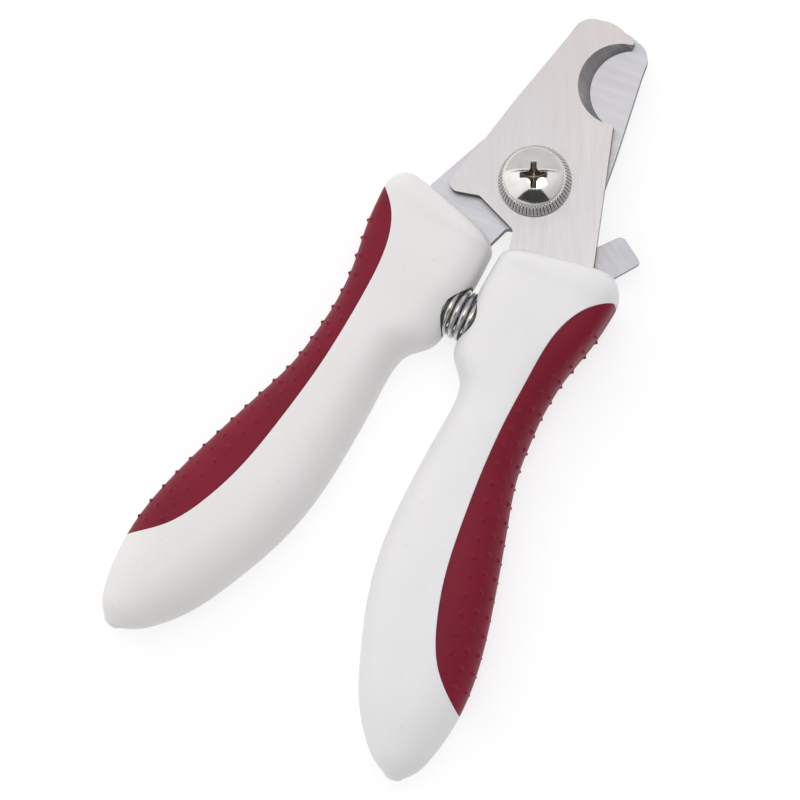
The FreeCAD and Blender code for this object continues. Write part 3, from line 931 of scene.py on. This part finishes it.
def crimson_rubber(name):
    """Soft grip rubber: matt crimson with a faint purple bloom."""
    mat = material(name, Sheen_Weight=0.05, Sheen_Roughness=0.4, Sheen_Tint=(0.75, 0.45, 0.62, 1.0),
                   Specular_IOR_Level=0.16)
    cloud = noise(mat, (9, 14, 9), 0.0, 3.0)
    grain = noise(mat, (0.22, 0.22, 0.22), 0.0, 4.0)
    tone = ramp(mat, cloud, (0.3, (0.185, 0.0072, 0.023)), (0.7, (0.225, 0.0092, 0.029)))
    fleck = ramp(mat, grain, (0.3, (0.86, 0.86, 0.88)), (0.7, (1.0, 1.0, 1.0)))
    feed(mat, "Base Color", blend_colours(mat, 1.0, tone, fleck, "MULTIPLY"))
    feed(mat, "Roughness", spread(mat, grain, 0.42, 0.6))
    feed(mat, "Normal", bump(mat, grain, 0.02))
    return mat


def spring_wire(name):
    """Drawn wire: straw and blue tempering tints in turn."""
    mat = material(name, Metallic=1.0)
    cloud = noise(mat, (1.6, 5, 5), 0.0, 2.0)
    drawn = noise(mat, (0.5, 0.12, 0.12), 0.0, 3.0)
    feed(mat, "Base Color", ramp(mat, cloud, (0.38, (0.40, 0.43, 0.50)), (0.62, (0.66, 0.63, 0.57))))
    feed(mat, "Roughness", spread(mat, drawn, 0.14, 0.28))
    feed(mat, "Normal", bump(mat, drawn, 0.004))
    return mat


front_steel = brushed_steel("front_blade_steel", (0.58, 0.555, 0.55), (0.635, 0.61, 0.605),
                            28.0, 0.13, 7.0, (0.42, 0.54))
# The rear blade's steel is set darker and cooler than the front blade's: painted shade on the same steel,
# while the brushing direction differs for real.
rear_steel = brushed_steel("rear_blade_steel", (0.50, 0.495, 0.515), (0.60, 0.595, 0.62),
                           97.0, 0.2, 12.0, (0.4, 0.52))
# Ground bevel of the notch: its grinding lines are its own, while its tone, set well below the blade face's,
# is painted shade.
ground_steel_and_shade = brushed_steel("ground_notch_steel_and_shade", (0.30, 0.295, 0.31), (0.48, 0.48, 0.49), 72.0, 0.14, 5.0,
                             (0.3, 0.45))
lever_steel = brushed_steel("lever_steel", (0.37, 0.37, 0.385), (0.46, 0.455, 0.475), 60.0, 0.12, 3.0)
# Near-black steel for the upright edge walls: painted shade standing in for the dark band of wall and shadow
# under the edges.
edge_painted_shade = brushed_steel("edge_painted_shade", (0.10, 0.10, 0.11), (0.17, 0.17, 0.18),
                             15.0, 0.2, 2.0, (0.4, 0.55))
chrome = polished("screw_chrome", (0.74, 0.73, 0.70), (0.82, 0.81, 0.79))
collar_plate = polished("collar_plating", (0.74, 0.73, 0.72), (0.84, 0.84, 0.83),
                        (0.14, 0.24), (0.8, 0.8, 0.8))
zinc = polished("plated_steel", (0.56, 0.57, 0.60), (0.68, 0.68, 0.67), (0.24, 0.38), (1.6, 1.6, 1.6), 0.003)
# Dark plating for the collar's grooves and the undercut at its foot: painted shade where these hollows fall
# dark.
groove_painted_shade = polished("groove_painted_shade", (0.09, 0.087, 0.085), (0.2, 0.195, 0.19),
                        (0.4, 0.6), (0.4, 0.4, 0.4), 0.004)
# Dark brownish steel inside the cross recess: painted shade in the hollow.
recess_painted_shade = polished("recess_painted_shade", (0.20, 0.165, 0.14), (0.34, 0.29, 0.25),
                        (0.25, 0.4), (0.5, 0.5, 0.5), 0.004)
wire = spring_wire("spring_wire")
white = white_plastic("white_plastic")
crimson = crimson_rubber("crimson_rubber")

# ---- build ---------------------------------------------------------------------------
upper = make_shell("right_upper_shell_fine", lower=False)
lower = make_shell("lower_blank", lower=True)
tang_space = prism("tang_space", rounded_outline(BLADE_OUTLINE), MID_Z - 1, BLADE_TOP + 0.01)
cut(upper, spring_seat(), tang_space)
cut(lower, spring_seat())
left_lower = half_turn(upper, "left_lower_shell_fine")
left_upper = half_turn(lower, "left_upper_shell_fine")
slot_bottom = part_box("lock_lever")[0].z / MM - SLOT_ROOM
cut(lower, prism("slot", rounded_outline(LEVER_SLOT), slot_bottom, MID_Z + 1))
lower.name = "right_lower_shell_fine"
for obj, body, name in ((upper, "right_half", "right_upper_shell"),
                        (lower, "right_half", "right_lower_shell"),
                        (left_lower, "left_half", "left_lower_shell"),
                        (left_upper, "left_half", "left_upper_shell")):
    rest_flat(obj)
    smooth(obj)
    dress(obj, body, name, white)

grip = make_grip("right_grip_fine")
left_grip = half_turn(grip, "left_grip_fine")
for obj, body, name in ((grip, "right_half", "right_grip"), (left_grip, "left_half", "left_grip")):
    rest_flat(obj)
    dress(obj, body, name, crimson)

front_blade = make_blade("front_blade_fine", SLEEVE_RADIUS)
blank = make_blade("rear_blank", SLEEVE_RADIUS + RUNNING_CLEARANCE, REAR_NOTCH_OUT)
cut(front_blade, prism("rivet_hole", circle(RIVET_RADIUS, *LEVER_PIVOT, 64), 0, OVER_ALL))
rear_blade = half_turn(blank, "rear_blade_fine")
bpy.data.objects.remove(blank)
for obj, body, name, steel in ((front_blade, "right_half", "front_blade", front_steel),
                               (rear_blade, "left_half", "rear_blade", rear_steel)):
    bevel(obj, 0.1)
    smooth(obj, 25)
    dress(obj, body, name, [steel, ground_steel_and_shade, edge_painted_shade])
    mark_faces(obj)

screw = dress(make_screw(), "right_half", "pivot_screw", [chrome, recess_painted_shade])
mark_recess(screw)
collar = dress(make_collar(), "right_half", "knurled_collar", [collar_plate, groove_painted_shade])
mark_grooves(collar)
for obj, name in ((ring_piece("pivot_sleeve", SCREW_RADIUS), "pivot_sleeve"),
                  (ring_piece("rear_washer", SCREW_RADIUS), "rear_washer"),
                  (make_spring_washer(), "spring_washer"), (make_nut(), "pivot_nut"),
                  (ring_piece("lever_washer", RIVET_RADIUS, 0.05, *LEVER_PIVOT), "lever_washer")):
    dress(obj, "right_half", name, zinc)
dress(make_rivet(), "right_half", "lever_rivet", zinc)
for place, (x, y) in zip(("front", "rear"), PIN_PLACES):
    pin = make_pin("right_" + place + "_tang_pin", x, y)
    twin = half_turn(pin, "left_" + place + "_tang_pin")
    dress(pin, "right_half", "right_tang_pins", zinc)
    dress(twin, "left_half", "left_tang_pins", zinc)
lever = dress(make_lever(), "lock", "lock_lever", [lever_steel, lever_steel, edge_painted_shade])
mark_faces(lever)

spring = make_spring()
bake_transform(spring)
dress(spring, None, "return_spring", wire)

# ---- stage ---------------------------------------------------------------------------
scene = bpy.context.scene
scene.view_settings.view_transform = "Standard"

CAMERA_LEAN = (0.1755, -0.1234)   # the line of sight's sideways lean per unit of height
CAMERA_TURN = 27.84               # direction of the picture's right-hand side on the floor, degrees
CAMERA_DISTANCE = 0.709
CAMERA_TARGET = Vector((-0.00303, -0.01124, 0.008))
CAMERA_LENS = 150.33


def direction(azimuth, elevation):
    """Unit vector towards a viewer at an azimuth and elevation in degrees."""
    a, e = math.radians(azimuth), math.radians(elevation)
    return Vector((math.sin(a) * math.cos(e), -math.cos(a) * math.cos(e), math.sin(e)))


camera = bpy.data.objects.new("camera", bpy.data.cameras.new("camera"))
scene.collection.objects.link(camera)
back = Vector((*CAMERA_LEAN, 1.0)).normalized()
turn = math.radians(CAMERA_TURN)
right = Vector((math.cos(turn), math.sin(turn), 0.0))
right = (right - back * right.dot(back)).normalized()
up = back.cross(right)
camera.location = CAMERA_TARGET + back * CAMERA_DISTANCE
camera.rotation_mode = "QUATERNION"
camera.rotation_quaternion = Matrix((right, up, back)).transposed().to_quaternion()
camera.data.sensor_width = 36.0
camera.data.lens = CAMERA_LENS
scene.camera = camera


def softbox(name, azimuth, elevation, distance, width, height, power, colour=(1, 1, 1)):
    """Rectangular light that faces the object."""
    lamp = bpy.data.lights.new(name, "AREA")
    lamp.shape = "RECTANGLE"
    lamp.size = width
    lamp.size_y = height
    lamp.energy = power
    lamp.color = colour
    obj = bpy.data.objects.new(name, lamp)
    scene.collection.objects.link(obj)
    towards = direction(azimuth, elevation)
    obj.location = towards * distance
    obj.rotation_mode = "QUATERNION"
    obj.rotation_quaternion = towards.to_track_quat("Z", "Y")
    return obj


softbox("overhead", 150.0, 84.0, 1.3, 0.62, 0.62, 2.4)


def studio_world(towards, tones):
    """Light tent: brightness by how far a direction leans towards the bright side."""
    world = bpy.data.worlds.new("studio")
    world.use_nodes = True
    tree = world.node_tree
    coordinates = tree.nodes.new("ShaderNodeTexCoord")
    lean = tree.nodes.new("ShaderNodeVectorMath")
    lean.operation = "DOT_PRODUCT"
    lean.inputs[1].default_value = towards
    span = tree.nodes.new("ShaderNodeMapRange")
    span.inputs["From Min"].default_value = -1.0
    span.inputs["From Max"].default_value = 1.0
    colours = tree.nodes.new("ShaderNodeValToRGB")
    while len(colours.color_ramp.elements) < len(tones):
        colours.color_ramp.elements.new(0.5)
    for element, (place, tone) in zip(colours.color_ramp.elements, tones):
        element.position = (place + 1) / 2
        element.color = (*tone, 1.0)
    tree.links.new(coordinates.outputs["Generated"], lean.inputs[0])
    tree.links.new(lean.outputs["Value"], span.inputs["Value"])
    tree.links.new(span.outputs["Result"], colours.inputs["Fac"])
    tree.links.new(colours.outputs["Color"], tree.nodes["Background"].inputs["Color"])
    return world


def grey(value, warmth=0.0):
    """A grey with a little warmth."""
    return (value * (1 + warmth), value, value * (1 - warmth))


scene.world = studio_world((-0.58, 0.40, 0.71), [(-1.0, grey(0.16)), (0.0, grey(0.48)), (0.6, grey(0.98)),
                                                 (1.0, grey(1.22))])


def card(name, tone, outline):
    """Card that only mirrors see, placed so that the screw's dome shows it at an outline.

    The outline is in millimetres from the dome's centre, to the right and up in the picture."""
    apex = Vector((PIVOT.x, PIVOT.y, SCREW_TOP * MM))
    sight = (camera.location - apex).normalized()
    points = []
    for side, rise in outline:
        lean_right = side / HEAD_BALL + right.z
        lean_up = rise / HEAD_BALL + up.z
        normal = right * lean_right + up * lean_up
        normal += back * math.sqrt(1 - normal.length_squared)
        away = 2 * normal.dot(sight) * normal - sight
        points.append(tuple((apex + away * 0.6) / MM - Vector((0, PIVOT.y / MM, 0))))
    obj = new_object(name, points, [tuple(range(len(points)))])
    glow = material(name + "_paint", Roughness=0.8)
    low, high = grey(tone * 0.96), grey(tone * 1.04)
    feed(glow, "Emission Color", ramp(glow, noise(glow, (90, 90, 90)), (0.3, low), (0.7, high)))
    feed(glow, "Base Color", ramp(glow, noise(glow, (90, 90, 90)), (0.3, grey(0.01)), (0.7, grey(0.02))))
    glow.node_tree.nodes["Principled BSDF"].inputs["Emission Strength"].default_value = 1.0
    obj.data.materials.append(glow)
    obj.visible_camera = False
    obj.visible_diffuse = False
    obj.visible_shadow = False


card("camera_side_card", 0.015, [(-1.1, -3.2), (1.6, -3.1), (2.3, -3.9), (3.7, -5.7), (0.0, -6.3),
                                 (-3.5, -5.2), (-2.2, -3.9)])
card("far_side_card", 0.66, [(-6.2, 0.7), (0.0, 1.1), (6.2, 0.7), (5.0, 3.9), (2.6, 5.8), (0.0, 6.4),
                             (-2.6, 5.8), (-5.0, 3.9)])
card("far_edge_card", 0.02, [(-5.3, 0.55), (0.0, 0.35), (5.8, 0.45), (0.0, 0.95)])

paper = material("floor_paper", Roughness=0.7, Emission_Strength=0.72)
feed(paper, "Base Color", ramp(paper, noise(paper, (60, 60, 60)), (0.3, grey(0.29)), (0.7, grey(0.31))))
feed(paper, "Emission Color", ramp(paper, noise(paper, (80, 80, 80)), (0.3, grey(0.98)), (0.7, grey(1.0))))
FLOOR_REACH = 3000.0        # from the middle to each side
FLOOR_DROP = 0.0002         # metres below the resting surface
floor_corners = [(x * FLOOR_REACH, y * FLOOR_REACH, 0) for x, y in ((-1, -1), (1, -1), (1, 1), (-1, 1))]
floor = new_object("floor", floor_corners, [(0, 1, 2, 3)])
floor.location.z = -FLOOR_DROP
floor.data.materials.append(paper)
